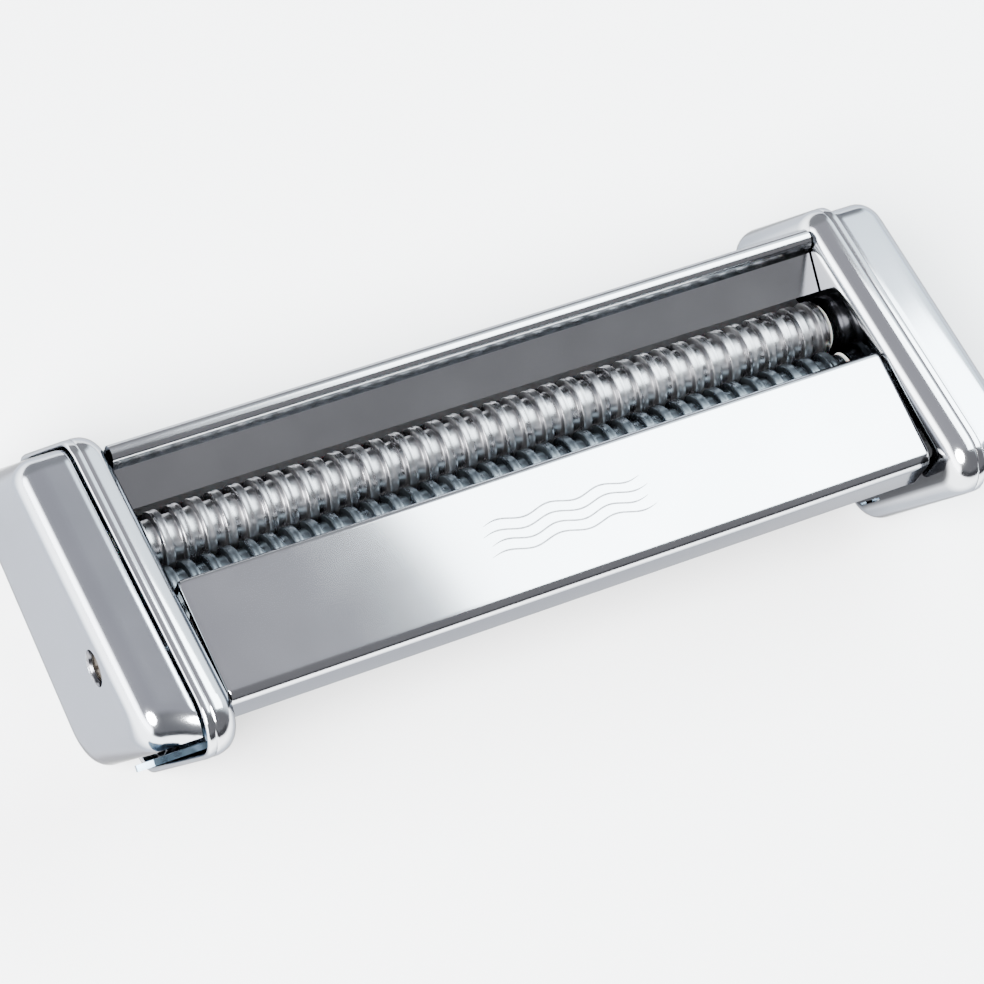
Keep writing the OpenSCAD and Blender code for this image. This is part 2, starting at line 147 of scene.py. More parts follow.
def add_world():
    """Studio surroundings: grey above, bright and cool on the right, dim in front."""
    world = bpy.data.worlds.new("studio")
    scene.world = world
    world.use_nodes = True
    tree = world.node_tree
    tree.nodes.clear()
    coords = tree.nodes.new("ShaderNodeTexCoord")
    parts = tree.nodes.new("ShaderNodeSeparateXYZ")
    tree.links.new(coords.outputs["Generated"], parts.inputs[0])

    def smooth(axis, low, high):
        """0 below low and 1 above high along an axis, with a soft border."""
        node = tree.nodes.new("ShaderNodeMapRange")
        node.interpolation_type = "SMOOTHSTEP"
        node.inputs["From Min"].default_value = min(low, high)
        node.inputs["From Max"].default_value = max(low, high)
        node.inputs["To Min"].default_value = 0 if low < high else 1
        node.inputs["To Max"].default_value = 1 if low < high else 0
        tree.links.new(parts.outputs[axis], node.inputs["Value"])
        return node.outputs["Result"]

    def both(first, second):
        """The product of two factors."""
        node = tree.nodes.new("ShaderNodeMath")
        node.operation = "MULTIPLY"
        tree.links.new(first, node.inputs[0])
        tree.links.new(second, node.inputs[1])
        return node.outputs[0]

    def layer(below, factor, colour):
        """The colour laid over what is below, where the factor says so."""
        node = tree.nodes.new("ShaderNodeMix")
        node.data_type = "RGBA"
        tree.links.new(factor, node.inputs["Factor"])
        if isinstance(below, tuple):
            node.inputs["A"].default_value = (*below, 1)
        else:
            tree.links.new(below, node.inputs["A"])
        node.inputs["B"].default_value = (*colour, 1)
        return node.outputs["Result"]

    sky = layer(SKY_LEFT, smooth("X", 0.30, 0.44), SKY_RIGHT)
    sky = layer(sky, both(smooth("Y", 0.70, 0.84), smooth("X", 0.8, 0.5)), SKY_BACK)
    sky = layer(sky, smooth("Y", 0.12, -0.34), SKY_FRONT)
    sky = layer(sky, both(smooth("Y", -0.5, -0.75), smooth("Z", 0.36, 0.18)), SKY_LOW_FRONT)
    sky = layer(sky, both(smooth("X", -0.62, -0.78), smooth("Z", 0.5, 0.25)), SKY_LOW_LEFT)
    shade = tree.nodes.new("ShaderNodeBackground")
    tree.links.new(sky, shade.inputs["Color"])
    shade.inputs["Strength"].default_value = 1.0
    out = tree.nodes.new("ShaderNodeOutputWorld")
    tree.links.new(shade.outputs[0], out.inputs[0])


def add_softbox(name, shape, place, target, size, power, colour):
    """A flat soft light at place, aimed at target."""
    data = bpy.data.lights.new(name, "AREA")
    data.shape = shape
    data.size, data.size_y = size
    data.energy = power
    data.color = colour
    lamp = bpy.data.objects.new(name, data)
    scene.collection.objects.link(lamp)
    lamp.location = place
    aim = Vector(target) - Vector(place)
    lamp.rotation_euler = aim.to_track_quat("-Z", "Y").to_euler()


def add_lights():
    """A large key light from the front on the left, and a softbox close above on the right."""
    white = (1, 1, 1)
    cool = (0.88, 0.97, 1.0)
    add_softbox("key_light", "ELLIPSE", (-0.95, -0.45, 1.15), (0, 0, 0), (1.1, 1.1), 170, white)
    above = (0.45, 0.10, 0.50)
    below = (above[0], above[1] + 1e-4, 0)
    add_softbox("top_softbox", "RECTANGLE", above, below, (0.60, 0.44), 11, cool)


# ---------------------------------------------------------------- outlines of the ends

def moved_in(insets):
    """The four corners of the side outline with its top, back, foot and front moved in."""
    corners = [Vector((FOOT_Y - FRONT_LEAN, FRONT_H)),
               Vector((FOOT_Y + FOOT_LEN - BACK_LEAN, BACK_H)),
               Vector((FOOT_Y + FOOT_LEN, 0)),
               Vector((FOOT_Y, 0))]
    lines = []
    for i, inset in enumerate(insets):
        along = (corners[(i + 1) % 4] - corners[i]).normalized()
        lines.append((corners[i] + Vector((along.y, -along.x)) * inset, along))
    out = []
    for i in range(4):
        (p, u), (q, v) = lines[i - 1], lines[i]
        out.append(p + u * ((q - p).cross(v) / u.cross(v)))
    return out


def rounded(corners, radii):
    """The closed outline through the corners, each rounded to its own radius."""
    points = []
    for i, corner in enumerate(corners):
        u = (corners[i - 1] - corner).normalized()
        v = (corners[(i + 1) % len(corners)] - corner).normalized()
        half = math.acos(max(-1.0, min(1.0, u.dot(v)))) / 2
        centre = corner + (u + v).normalized() * radii[i] / math.sin(half)
        spoke = corner + u * radii[i] / math.tan(half) - centre
        sweep = -math.copysign(math.pi - 2 * half, u.cross(v))
        for k in range(CORNER_STEPS + 1):
            a = sweep * k / CORNER_STEPS
            points.append(centre + Vector((spoke.x * math.cos(a) - spoke.y * math.sin(a),
                                           spoke.x * math.sin(a) + spoke.y * math.cos(a))))
    return points


def plate_ring(inset):
    """An outline of the end plate, moved in all round."""
    least_r = 0.8 * MM
    return rounded(moved_in([inset] * 4), [max(CORNER_R - inset, least_r)] * 4)


def cap_ring(inset, front):
    """An outline of the cap: its front foot has the largest rounding."""
    least_r = 1.2 * MM
    shrink = 0.62 * inset
    return rounded(moved_in([inset, inset, inset, front]),
                   [max(r - shrink, least_r) for r in CAP_CORNERS])


# ---------------------------------------------------------------- mesh helpers

def new_object(name, mesh, material, body):
    """An object that rides on a body, with the given material."""
    obj = bpy.data.objects.new(name, mesh)
    scene.collection.objects.link(obj)
    mesh.materials.clear()
    mesh.materials.append(material)
    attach(obj, body)
    return obj


def smooth_mesh(mesh, angle=35):
    """Smooth shading, with edges sharper than angle kept crisp."""
    bm = bmesh.new()
    bm.from_mesh(mesh)
    bmesh.ops.recalc_face_normals(bm, faces=bm.faces)
    limit = math.radians(angle)
    for face in bm.faces:
        face.smooth = True
    for edge in bm.edges:
        edge.smooth = len(edge.link_faces) == 2 and edge.calc_face_angle(math.pi) < limit
    bm.to_mesh(mesh)
    bm.free()


def finished(bm, name):
    """The mesh of a bmesh, with its faces turned outwards."""
    bmesh.ops.recalc_face_normals(bm, faces=bm.faces)
    mesh = bpy.data.meshes.new(name)
    bm.to_mesh(mesh)
    bm.free()
    return mesh


def band(bm, first, second):
    """Faces between two closed loops of the same number of points."""
    count = len(first)
    for i in range(count):
        j = (i + 1) % count
        bm.faces.new((first[i], first[j], second[j], second[i]))


def loft(name, rings, side, joined, lids):
    """Bands between the joined pairs of rings of (x, outline), and a flat face in each lid ring."""
    bm = bmesh.new()
    loops = [[bm.verts.new((side * x, p.x, p.y)) for p in outline] for x, outline in rings]
    for first, second in joined:
        band(bm, loops[first], loops[second])
    for lid in lids:
        bm.faces.new(loops[lid])
    return finished(bm, name)


def in_order(start, end):
    """Pairs of neighbours from start up to end."""
    return [(k, k + 1) for k in range(start, end)]


def rod_cutter(x0, x1, y, z, radius, sides=64):
    """A cylinder along the length, to cut a hole with."""
    bm = bmesh.new()
    turn = Matrix.Translation(((x0 + x1) / 2, y, z)) @ Matrix.Rotation(math.pi / 2, 4, "Y")
    bmesh.ops.create_cone(bm, cap_ends=True, segments=sides, radius1=radius, radius2=radius,
                          depth=abs(x1 - x0), matrix=turn)
    return finished(bm, "cutter")


def box_cutter(matrix):
    """A unit cube put through a matrix, to cut a slot with."""
    bm = bmesh.new()
    bmesh.ops.create_cube(bm, size=1, matrix=matrix)
    return finished(bm, "cutter")


def front_box_cutter(side, x0, x1, y0, y1, z0, z1):
    """A box set on the slanted front edge: y runs in from it and z up along it."""
    turn = Matrix.Translation((0, FOOT_Y, 0)) @ Matrix.Rotation(LEAN, 4, "X")
    middle = Matrix.Translation((side * (x0 + x1) / 2, (y0 + y1) / 2, (z0 + z1) / 2))
    size = Matrix.Diagonal((x1 - x0, y1 - y0, z1 - z0, 1))
    return box_cutter(turn @ middle @ size)


def carve(mesh, cutters):
    """The mesh with each cutter's shape taken out of it."""
    work = bpy.data.objects.new("carve_work", mesh)
    scene.collection.objects.link(work)
    for cutter_mesh in cutters:
        cutter = bpy.data.objects.new("carve_cutter", cutter_mesh)
        scene.collection.objects.link(cutter)
        cut = work.modifiers.new("cut", "BOOLEAN")
        cut.operation = "DIFFERENCE"
        cut.solver = "EXACT"
        cut.object = cutter
        result = bpy.data.meshes.new_from_object(
            work.evaluated_get(bpy.context.evaluated_depsgraph_get()))
        work.modifiers.clear()
        work.data = result
        bpy.data.objects.remove(cutter)
    done = work.data
    bpy.data.objects.remove(work)
    return done


def soften(obj, width):
    """Rounds the hard edges of a finished mesh."""
    sharp = math.radians(40)
    edge = obj.modifiers.new("soften", "BEVEL")
    edge.width = width
    edge.segments = 2
    edge.limit_method = "ANGLE"
    edge.angle_limit = sharp
    edge.harden_normals = True
    edge.use_clamp_overlap = True


# ---------------------------------------------------------------- materials

# Tint of every metal where it is seen nearly edge on
EDGE_TINT = (0.62, 0.62, 0.64, 1)

# Painted shade: how much of the chrome's colour is left where it turns away, 0 being square on and 1
# edge on
EDGE_SHADE_SHARES = ((0.40, (1, 1, 1)), (0.62, (0.31, 0.33, 0.36)), (0.75, (0.23, 0.25, 0.275)),
               (0.80, (0.06, 0.06, 0.065)), (0.97, (0.10, 0.105, 0.11)))


# Painted shade on the chrome's tint edge on, in the same way: only its outermost line is dark
EDGE_SHADE_TINTS = ((0.76, EDGE_TINT[:3]), (0.90, (0.12, 0.12, 0.125)))


class Shade:
    """A Principled material with object-space textures for its colour, roughness and relief."""

    def __init__(self, name, metallic, specular=0.5):
        self.mat = bpy.data.materials.new(name)
        self.mat.use_nodes = True
        self.tree = self.mat.node_tree
        self.shader = self.tree.nodes["Principled BSDF"]
        self.shader.inputs["Metallic"].default_value = metallic
        self.shader.inputs["Specular IOR Level"].default_value = specular
        if metallic:
            self.shader.inputs["Specular Tint"].default_value = EDGE_TINT
        self.coords = self.tree.nodes.new("ShaderNodeTexCoord").outputs["Object"]
        self.normal = None

    def noise(self, scale, stretch=(1, 1, 1), detail=3.0):
        """Noise of a size in features per metre, stretched along each axis."""
        spread = self.tree.nodes.new("ShaderNodeMapping")
        spread.inputs["Scale"].default_value = stretch
        self.tree.links.new(self.coords, spread.inputs["Vector"])
        node = self.tree.nodes.new("ShaderNodeTexNoise")
        node.inputs["Scale"].default_value = scale
        node.inputs["Detail"].default_value = detail
        self.tree.links.new(spread.outputs[0], node.inputs["Vector"])
        return node.outputs["Fac"]

    def between(self, value, low, high, near=0.3, far=0.7):
        """The value, spread from near..far to low..high."""
        node = self.tree.nodes.new("ShaderNodeMapRange")
        for socket, number in (("From Min", near), ("From Max", far),
                               ("To Min", low), ("To Max", high)):
            node.inputs[socket].default_value = number
        self.tree.links.new(value, node.inputs["Value"])
        return node.outputs["Result"]

    def colour(self, value, first, second):
        """The base colour, from first to second as the value rises."""
        node = self.tree.nodes.new("ShaderNodeMix")
        node.data_type = "RGBA"
        self.tree.links.new(self.between(value, 0, 1, 0.35, 0.65), node.inputs["Factor"])
        node.inputs["A"].default_value = (*first, 1)
        node.inputs["B"].default_value = (*second, 1)
        self.tree.links.new(node.outputs["Result"], self.shader.inputs["Base Color"])

    def turned_away(self, stops):
        """A colour that depends on how far the surface turns away from the eye."""
        facing = self.tree.nodes.new("ShaderNodeLayerWeight")
        facing.inputs["Blend"].default_value = 0.5
        ramp = self.tree.nodes.new("ShaderNodeValToRGB")
        elements = ramp.color_ramp.elements
        while len(elements) < len(stops):
            elements.new(0.5)
        for element, (place, share) in zip(elements, stops):
            element.position = place
            element.color = (*share, 1)
        self.tree.links.new(facing.outputs["Facing"], ramp.inputs["Fac"])
        return ramp.outputs["Color"]

    def paint_edge_shade(self, shares, tints):
        """Paints shade: darkens the colour and the edge-on tint where the surface turns away."""
        node = self.multiply()
        node.inputs["Factor"].default_value = 1.0
        self.tree.links.new(self.turned_away(shares), node.inputs["B"])
        self.tree.links.new(self.turned_away(tints), self.shader.inputs["Specular Tint"])

    def multiply(self):
        """A node that multiplies the colour so far; its Factor and B are still to be set."""
        node = self.tree.nodes.new("ShaderNodeMix")
        node.data_type = "RGBA"
        node.blend_type = "MULTIPLY"
        base = self.shader.inputs["Base Color"]
        self.tree.links.new(base.links[0].from_socket, node.inputs["A"])
        self.tree.links.new(node.outputs["Result"], base)
        return node

    def painted_shade(self, axis, clear_at, shaded_at, share):
        """Paints shade: darkens the colour to a share past a place on an axis, the same on both sides
        of zero.
        """
        parts = self.tree.nodes.new("ShaderNodeSeparateXYZ")
        self.tree.links.new(self.coords, parts.inputs[0])
        size = self.tree.nodes.new("ShaderNodeMath")
        size.operation = "ABSOLUTE"
        self.tree.links.new(parts.outputs[axis], size.inputs[0])
        node = self.multiply()
        node.inputs["B"].default_value = (share, share, share, 1)
        self.tree.links.new(self.between(size.outputs[0], 0, 1, clear_at, shaded_at),
                            node.inputs["Factor"])

    def roughness(self, value, low, high):
        """The roughness, from low to high as the value rises."""
        self.tree.links.new(self.between(value, low, high), self.shader.inputs["Roughness"])

    def relief(self, value, height):
        """Bump of a height in metres; a second call adds to the first."""
        node = self.tree.nodes.new("ShaderNodeBump")
        node.inputs["Strength"].default_value = 1.0
        node.inputs["Distance"].default_value = height
        self.tree.links.new(value, node.inputs["Height"])
        if self.normal is not None:
            self.tree.links.new(self.normal, node.inputs["Normal"])
        self.normal = node.outputs["Normal"]
        self.tree.links.new(self.normal, self.shader.inputs["Normal"])


def chrome(name, light, dark, rough, painted_shade=None):
    """Mirror plate: faint cloudiness, hairline polishing marks and a slight waviness, with painted
    shade where its edges turn away and, where given, along an axis.

    dull, where it is given, holds the arguments of Shade.dull.
    """
    shade = Shade(name, metallic=1.0)
    shade.colour(shade.noise(35), dark, light)
    if painted_shade:
        # Painted shade along an axis, where it is given
        shade.painted_shade(*painted_shade)
    # Painted shade where the surface turns away from the eye
    shade.paint_edge_shade(EDGE_SHADE_SHARES, EDGE_SHADE_TINTS)
    shade.roughness(shade.noise(70), rough * 0.93, rough * 1.1)
    shade.relief(shade.noise(24, detail=1.0), 0.000004)
    shade.relief(shade.noise(2500, (0.08, 1, 1)), 0.0000005)
    return shade.mat


def turned_metal(name, light, dark, rough):
    """Satin metal turned on a lathe: fine rings round the length axis."""
    shade = Shade(name, metallic=1.0)
    shade.colour(shade.noise(120, (1, 0.6, 0.6)), dark, light)
    shade.roughness(shade.noise(900, (1, 0.15, 0.15)), rough * 0.75, rough * 1.3)
    shade.relief(shade.noise(5000, (1, 0.02, 0.02)), 0.000004)
    return shade.mat


def plated_steel(name, light, dark, rough, edge_tint=EDGE_TINT):
    """Rolled and plated steel: mottled tint and a faint grain."""
    shade = Shade(name, metallic=1.0)
    shade.shader.inputs["Specular Tint"].default_value = edge_tint
    shade.colour(shade.noise(90, detail=5.0), dark, light)
    shade.roughness(shade.noise(400), rough * 0.8, rough * 1.25)
    shade.relief(shade.noise(3000, (0.2, 1, 1)), 0.000003)
    return shade.mat


def nylon(name, light, dark):
    """Moulded nylon: soft sheen, slight clouding and a fine mould texture."""
    shade = Shade(name, metallic=0.0, specular=0.45)
    shade.colour(shade.noise(140, detail=4.0), dark, light)
    shade.roughness(shade.noise(700), 0.42, 0.58)
    shade.relief(shade.noise(2200), 0.000012)
    shade.shader.inputs["Subsurface Weight"].default_value = 0.15
    shade.shader.inputs["Subsurface Scale"].default_value = 0.001
    return shade.mat


# One look for each material slot of the CAD nodes that stay, and for the caps and the roller
MATERIALS = {
    "chromed_cap": chrome("chromed_cap_look", (0.58, 0.60, 0.64), (0.54, 0.565, 0.60), 0.13),
    "zinc_plate": plated_steel("zinc_plate_look", (0.13, 0.18, 0.23), (0.07, 0.105, 0.14), 0.30),
    "roller_metal": turned_metal("roller_metal_look", (0.36, 0.36, 0.37), (0.28, 0.28, 0.29), 0.30),
    "bright_steel": turned_metal("bright_steel_look", (0.72, 0.72, 0.73), (0.58, 0.58, 0.60), 0.22),
    "gear_steel": plated_steel("gear_steel_look", (0.52, 0.52, 0.53), (0.38, 0.38, 0.39), 0.33),
    "spring_steel": plated_steel("spring_steel_look", (0.34, 0.32, 0.29), (0.22, 0.21, 0.20), 0.35),
    "fastener": plated_steel("fastener_look", (0.34, 0.33, 0.32), (0.24, 0.235, 0.23), 0.24),
    "nylon": nylon("nylon_look", (0.83, 0.82, 0.77), (0.76, 0.75, 0.69)),
}

# Chromed sheet: painted shade makes its inside walls and the cover's skirt darker than the rest
SHEET_LIGHT = (0.60, 0.61, 0.63)
SHEET_DARK = (0.56, 0.57, 0.59)
SHEET_ROUGH = 0.11
PLATE_SHEET = chrome("plate_sheet_look", SHEET_LIGHT, SHEET_DARK, SHEET_ROUGH,
                     ("X", WALL_X + 0.35 * MM, WALL_X + 0.05 * MM, 0.10))
COVER_SHEET = chrome("cover_sheet_look", SHEET_LIGHT, SHEET_DARK, SHEET_ROUGH,
                     ("Z", COVER_Z - 1.5 * MM, COVER_Z - 2.3 * MM, 0.45))
GUIDE_SHEET = chrome("guide_sheet_look", (0.56, 0.565, 0.58), (0.52, 0.525, 0.54), 0.15)

# Painted shade, darker looks: the front roller, the screws in their seats, and the combs
# Painted shade: the front roller is a darker copy of the roller metal, for the shade under the
# cover's lip
SHADED_ROLLER = turned_metal("idler_painted_shade_look", (0.17, 0.195, 0.215), (0.12, 0.14, 0.155), 0.30)
# Painted shade of the seat: a dark edge-on tint for the screw and its dimple
SEAT_SHADE_TINT = (0.12, 0.12, 0.125, 1)
# The screw: partly its own dark colour, partly painted shade of its seat
DARK_SCREW = plated_steel("dark_screw_look", (0.13, 0.12, 0.11), (0.06, 0.055, 0.05), 0.30,
                          SEAT_SHADE_TINT)
# The dimple: chrome made dark, as painted shade of the recess
SHADED_DIMPLE = plated_steel("dimple_painted_shade_look", (0.17, 0.17, 0.18), (0.11, 0.11, 0.12), 0.20, SEAT_SHADE_TINT)
# Painted shade: the combs are made near black, as the gap behind the rollers lies in shade
SHADED_COMB_NYLON = nylon("comb_painted_shade_look", (0.030, 0.030, 0.032), (0.018, 0.018, 0.020))
COMBS = ("front_comb", "rear_comb")


# ---------------------------------------------------------------- end plates

def end_plate_rings():
    """The plate's section: its wall, the fold, the rim, the rounded lip and back inside."""
    lip = LIP_X - WALL_X
    lip_r = SHEET_T / 2
    inner_r = FOLD_R - SHEET_T
    wall_in = FOLD_R + 5 * MM
    fold_steps = 12
    section = [(0, wall_in), (0, FOLD_R)]
    for k in range(1, fold_steps + 1):
        a = math.radians(90 * k / fold_steps)
        section.append((FOLD_R * (1 - math.cos(a)), FOLD_R * (1 - math.sin(a))))
    for k in range(-3, 4):
        dip = 0.5 * GROOVE_DEPTH * (1 + math.cos(math.pi * k / 3))
        section.append((lip - GROOVE_IN + k * GROOVE_W / 6, dip))
    lip_steps = 8
    for k in range(lip_steps + 1):
        a = math.radians(180 * k / lip_steps)
        section.append((lip - lip_r + lip_r * math.sin(a), lip_r - lip_r * math.cos(a)))
    inner_steps = 6
    for k in range(inner_steps, -1, -1):
        a = math.radians(90 * k / inner_steps)
        section.append((SHEET_T + inner_r * (1 - math.cos(a)),
                        SHEET_T + inner_r * (1 - math.sin(a))))
    section.append((SHEET_T, wall_in))
    return [(WALL_X + x, plate_ring(inset)) for x, inset in section]


def add_end_plate(side, node):
    """The pressed plate with its folded rim, its bush and tie rod holes and the slit of its front."""
    rings = end_plate_rings()
    last = len(rings) - 1
    mesh = loft(node + "_skin", rings, side, in_order(0, last), (0, last))
    x0, x1 = side * (WALL_X - 2 * MM), side * (WALL_X + 4 * MM)
    bush_r = 4.8 * MM
    hole_r = 2.0 * MM
    rods = [axis_of(name) for name in ("front_tie_rod", "rear_tie_rod")]
    cutters = [rod_cutter(x0, x1, y, SHAFT_Z, bush_r) for y in (DRIVE_Y, IDLER_Y)]
    cutters += [rod_cutter(x0, x1, y, z, hole_r, 32) for y, z in rods]
    slit_in = (3.9 * MM, 4.4 * MM)
    slit_up = (4.4 * MM, 12.6 * MM)
    cutters.append(front_box_cutter(side, WALL_X - 1 * MM, WALL_X + 2 * MM, *slit_in, *slit_up))
    mesh = carve(mesh, cutters)
    smooth_mesh(mesh, 32)
    obj = new_object(node + "_pressed", mesh, PLATE_SHEET, "frame")
    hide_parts(node)


# ---------------------------------------------------------------- end caps

def cap_rings():
    """The cap's rings and the number of outer ones.

    They go up the outside and over the rounded edge, then back down the inside.
    """
    wall = 1.6 * MM
    step = 1.3 * MM
    front_step = 3.8 * MM
    edge_r = 4.5 * MM
    lip_r = 0.35 * MM
    side_x = FACE_X - edge_r
    lip_x = CAP_X + lip_r
    outer = [(CAP_X, step + lip_r, step + lip_r),
             (CAP_X + 0.3 * lip_r, step + 0.3 * lip_r, step + 0.3 * lip_r),
             (lip_x, step, step)]
    steps = 5
    for k in range(1, steps + 1):
        t = k / steps
        draw_in = t * (1.6 - 0.6 * t)
        outer.append((lip_x + (side_x - lip_x) * t, step, step + (front_step - step) * draw_in))
    for d in range(10, 91, 10):
        a = math.radians(d)
        inset = edge_r * (1 - math.cos(a))
        outer.append((side_x + edge_r * math.sin(a), step + inset, front_step + inset))
    face_in = edge_r + 1.5 * MM
    floor_in = wall + 4.0 * MM
    corner_in = wall + 1.4 * MM
    corner_up = wall + 0.4 * MM
    outer.append((FACE_X, step + face_in, front_step + face_in))
    inner = [(FACE_X - wall, step + floor_in, front_step + floor_in),
             (FACE_X - corner_up, step + corner_in, front_step + corner_in),
             (side_x, step + wall, front_step + wall),
             (CAP_X, step + wall, step + wall)]
    rings = [(x, cap_ring(inset, front)) for x, inset, front in outer + inner]
    return rings, len(outer)


def add_end_cap(side, node):
    """The cap: a hollow shell with its guide slot, its screw's dimple and the crank's opening."""
    rings, split = cap_rings()
    last = len(rings) - 1
    joined = in_order(0, split - 1) + in_order(split, last) + [(last, 0)]
    mesh = loft(node + "_skin", rings, side, joined, (split - 1, split))
    dimple_r = 3.5 * MM
    hole_r = 1.7 * MM
    guide_high = 35.2 * MM
    guide_back = SLOT_DEPTH + 1.4 * MM
    slot_x = FACE_X - 3.6 * MM
    below = -6 * MM
    cutters = [front_box_cutter(side, CAP_X - 1 * MM, slot_x, below, depth, below, high)
               for depth, high in ((SLOT_DEPTH, SLOT_LEN), (guide_back, guide_high))]
    face_cut = (FACE_X - 5 * MM, FACE_X + 1 * MM)
    cutters.append(rod_cutter(side * face_cut[0], side * face_cut[1], SCREW_Y, SCREW_Z, dimple_r))
    if side > 0:
        socket_gap = 0.5 * MM
        socket_r = (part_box("crank_socket")[1].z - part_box("crank_socket")[0].z) / 2
        cutters.append(rod_cutter(*face_cut, DRIVE_Y, SHAFT_Z, socket_r + socket_gap, 96))
    mesh = carve(mesh, cutters)
    smooth_mesh(mesh, 32)
    obj = new_object(node + "_shell", mesh, MATERIALS["chromed_cap"], "frame")
    soften(obj, 0.25 * MM)
    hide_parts(node)
    add_dimple(side, node, dimple_r, hole_r)


def lathe(name, profile, centre, side, segments=48):
    """A turned solid about a line along the length; profile is a list of (x, radius)."""
    bm = bmesh.new()
    turns = [2 * math.pi * k / segments for k in range(segments)]
    rings = []
    for x, radius in profile:
        spokes = turns if radius > 0 else turns[:1]
        rings.append([bm.verts.new((side * x, centre[0] + radius * math.cos(a),
                                    centre[1] + radius * math.sin(a))) for a in spokes])
    for first, second in zip(rings, rings[1:]):
        for k in range(segments):
            j = (k + 1) % segments
            if len(first) == 1:
                bm.faces.new((first[0], second[j], second[k]))
            elif len(second) == 1:
                bm.faces.new((first[k], first[j], second[0]))
            else:
                bm.faces.new((first[k], first[j], second[j], second[k]))
    return finished(bm, name)


def add_dimple(side, node, radius, hole_r):
    """The pressed seat round the screw: a rounded lip, a sloping wall and a flat floor."""
    floor_x = FACE_X - SEAT_DEPTH
    under_x = floor_x - 0.9 * MM
    back_x = FACE_X - 1.5 * MM
    lip_x = FACE_X - 0.02 * MM
    lip_r = radius + 0.12 * MM
    outer_r = radius + 0.6 * MM
    top = [(lip_x, lip_r), (FACE_X - 0.12 * MM, radius - 0.05 * MM),
           (FACE_X - 0.5 * MM, radius - 0.25 * MM), (floor_x, radius - 0.5 * MM),
           (floor_x, hole_r)]
    under = [(under_x, hole_r), (under_x, outer_r), (back_x, outer_r), (back_x, lip_r),
             (lip_x, lip_r)]
    mesh = lathe(node + "_dimple", top + under, (SCREW_Y, SCREW_Z), side, 64)
    smooth_mesh(mesh, 40)
    # Its dark look is painted shade of the recess
    new_object(node + "_dimple", mesh, SHADED_DIMPLE, "frame")


def add_cap_screw(side, node):
    """Pan head screw with a cross recess."""
    floor_x = FACE_X - SEAT_DEPTH
    head_h = 1.7 * MM
    head_r = 2.85 * MM
    rim_h = 0.45 * MM
    shank_r = 1.65 * MM
    end_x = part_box("right_cap_screw")[0].x
    profile = [(floor_x + head_h, 0)]
    dome_steps = 8
    for k in range(1, dome_steps):
        a = math.radians(90 * k / dome_steps)
        profile.append((floor_x + rim_h + (head_h - rim_h) * math.cos(a) ** 0.8,
                        head_r * math.sin(a)))
    profile += [(floor_x + rim_h, head_r), (floor_x, head_r), (floor_x, shank_r),
                (end_x, shank_r), (end_x, 0)]
    mesh = lathe(node + "_mesh", profile, (SCREW_Y, SCREW_Z), side, 64)
    recess = Matrix.Diagonal((2.2 * MM, 3.3 * MM, 0.75 * MM, 1))
    head_top = Matrix.Translation((side * (floor_x + head_h), SCREW_Y, SCREW_Z))
    cutters = [box_cutter(head_top @ Matrix.Rotation(math.radians(turn), 4, "X") @ recess)
               for turn in (20, 110)]
    mesh = carve(mesh, cutters)
    smooth_mesh(mesh, 35)
    obj = new_object(node + "_head", mesh, DARK_SCREW, "frame")
    soften(obj, 0.08 * MM)
    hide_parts(node)


# ---------------------------------------------------------------- covers

COVER_GAP = 0.7 * MM
COVER_T = 1.0 * MM


def bend(centre, radius, start, end, steps=8):
    """Points of an arc about a centre, between two angles in degrees."""
    angles = [math.radians(start + (end - start) * k / steps) for k in range(steps + 1)]
    return [Vector((centre[0] + radius * math.cos(a), centre[1] + radius * math.sin(a)))
            for a in angles]


def thickened(line, gauge):
    """A closed section of the given gauge, to the left of the line's direction."""
    n = len(line)
    dirs = [(line[i + 1] - line[i]).normalized() for i in range(n - 1)]
    left = [Vector((-d.y, d.x)) for d in dirs]
    other = []
    for i in range(n):
        a, b = left[max(i - 1, 0)], left[min(i, n - 2)]
        other.append(line[i] + (a + b) / (1 + a.dot(b)) * gauge)
    return line + list(reversed(other))


def extruded(name, section, half, end_roll, middle=None):
    """A section drawn along the length.

    Over end_roll at each end it shrinks towards the middle, where one is given.
    """
    bm = bmesh.new()
    turns = [math.radians(a) for a in range(0, 91, 15)]
    stations = [(-half + end_roll * (1 - math.cos(a)), a) for a in turns]
    stations += [(-x, a) for x, a in reversed(stations)]
    loops = []
    for x, a in stations:
        sink = end_roll * (1 - math.sin(a))
        points = section
        if middle is not None:
            points = [p + (middle - p).normalized() * sink for p in section]
        loops.append([bm.verts.new((x, p.x, p.y)) for p in points])
    for first, second in zip(loops, loops[1:]):
        band(bm, first, second)
    bm.faces.new(loops[0])
    bm.faces.new(loops[-1])
    return finished(bm, name)


def front_cover_section():
    """The front cover's section: its rear lip, its flat top, its front bend and its skirt."""
    lip_h = 4 * MM
    lip_r = 1.5 * MM
    edge_r = 2.5 * MM
    low_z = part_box("front_cover")[0].z
    line = [Vector((COVER_BACK_Y, COVER_Z - lip_h))]
    line += bend((COVER_BACK_Y - lip_r, COVER_Z - lip_r), lip_r, 0, 90)
    line += bend((COVER_FRONT_Y + edge_r, COVER_Z - edge_r), edge_r, 90, 180, 12)
    line.append(Vector((COVER_FRONT_Y, low_z)))
    return thickened(line, COVER_T)


def add_front_cover():
    """The folded front cover, its ends a little rounded."""
    end_roll = 1.0 * MM
    middle = Vector(((COVER_FRONT_Y + COVER_BACK_Y) / 2, COVER_Z - 6 * MM))
    mesh = extruded("front_cover_mesh", front_cover_section(), WALL_X - COVER_GAP, end_roll, middle)
    smooth_mesh(mesh, 32)
    obj = new_object("front_cover_sheet", mesh, COVER_SHEET, "frame")
    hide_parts("front_cover")


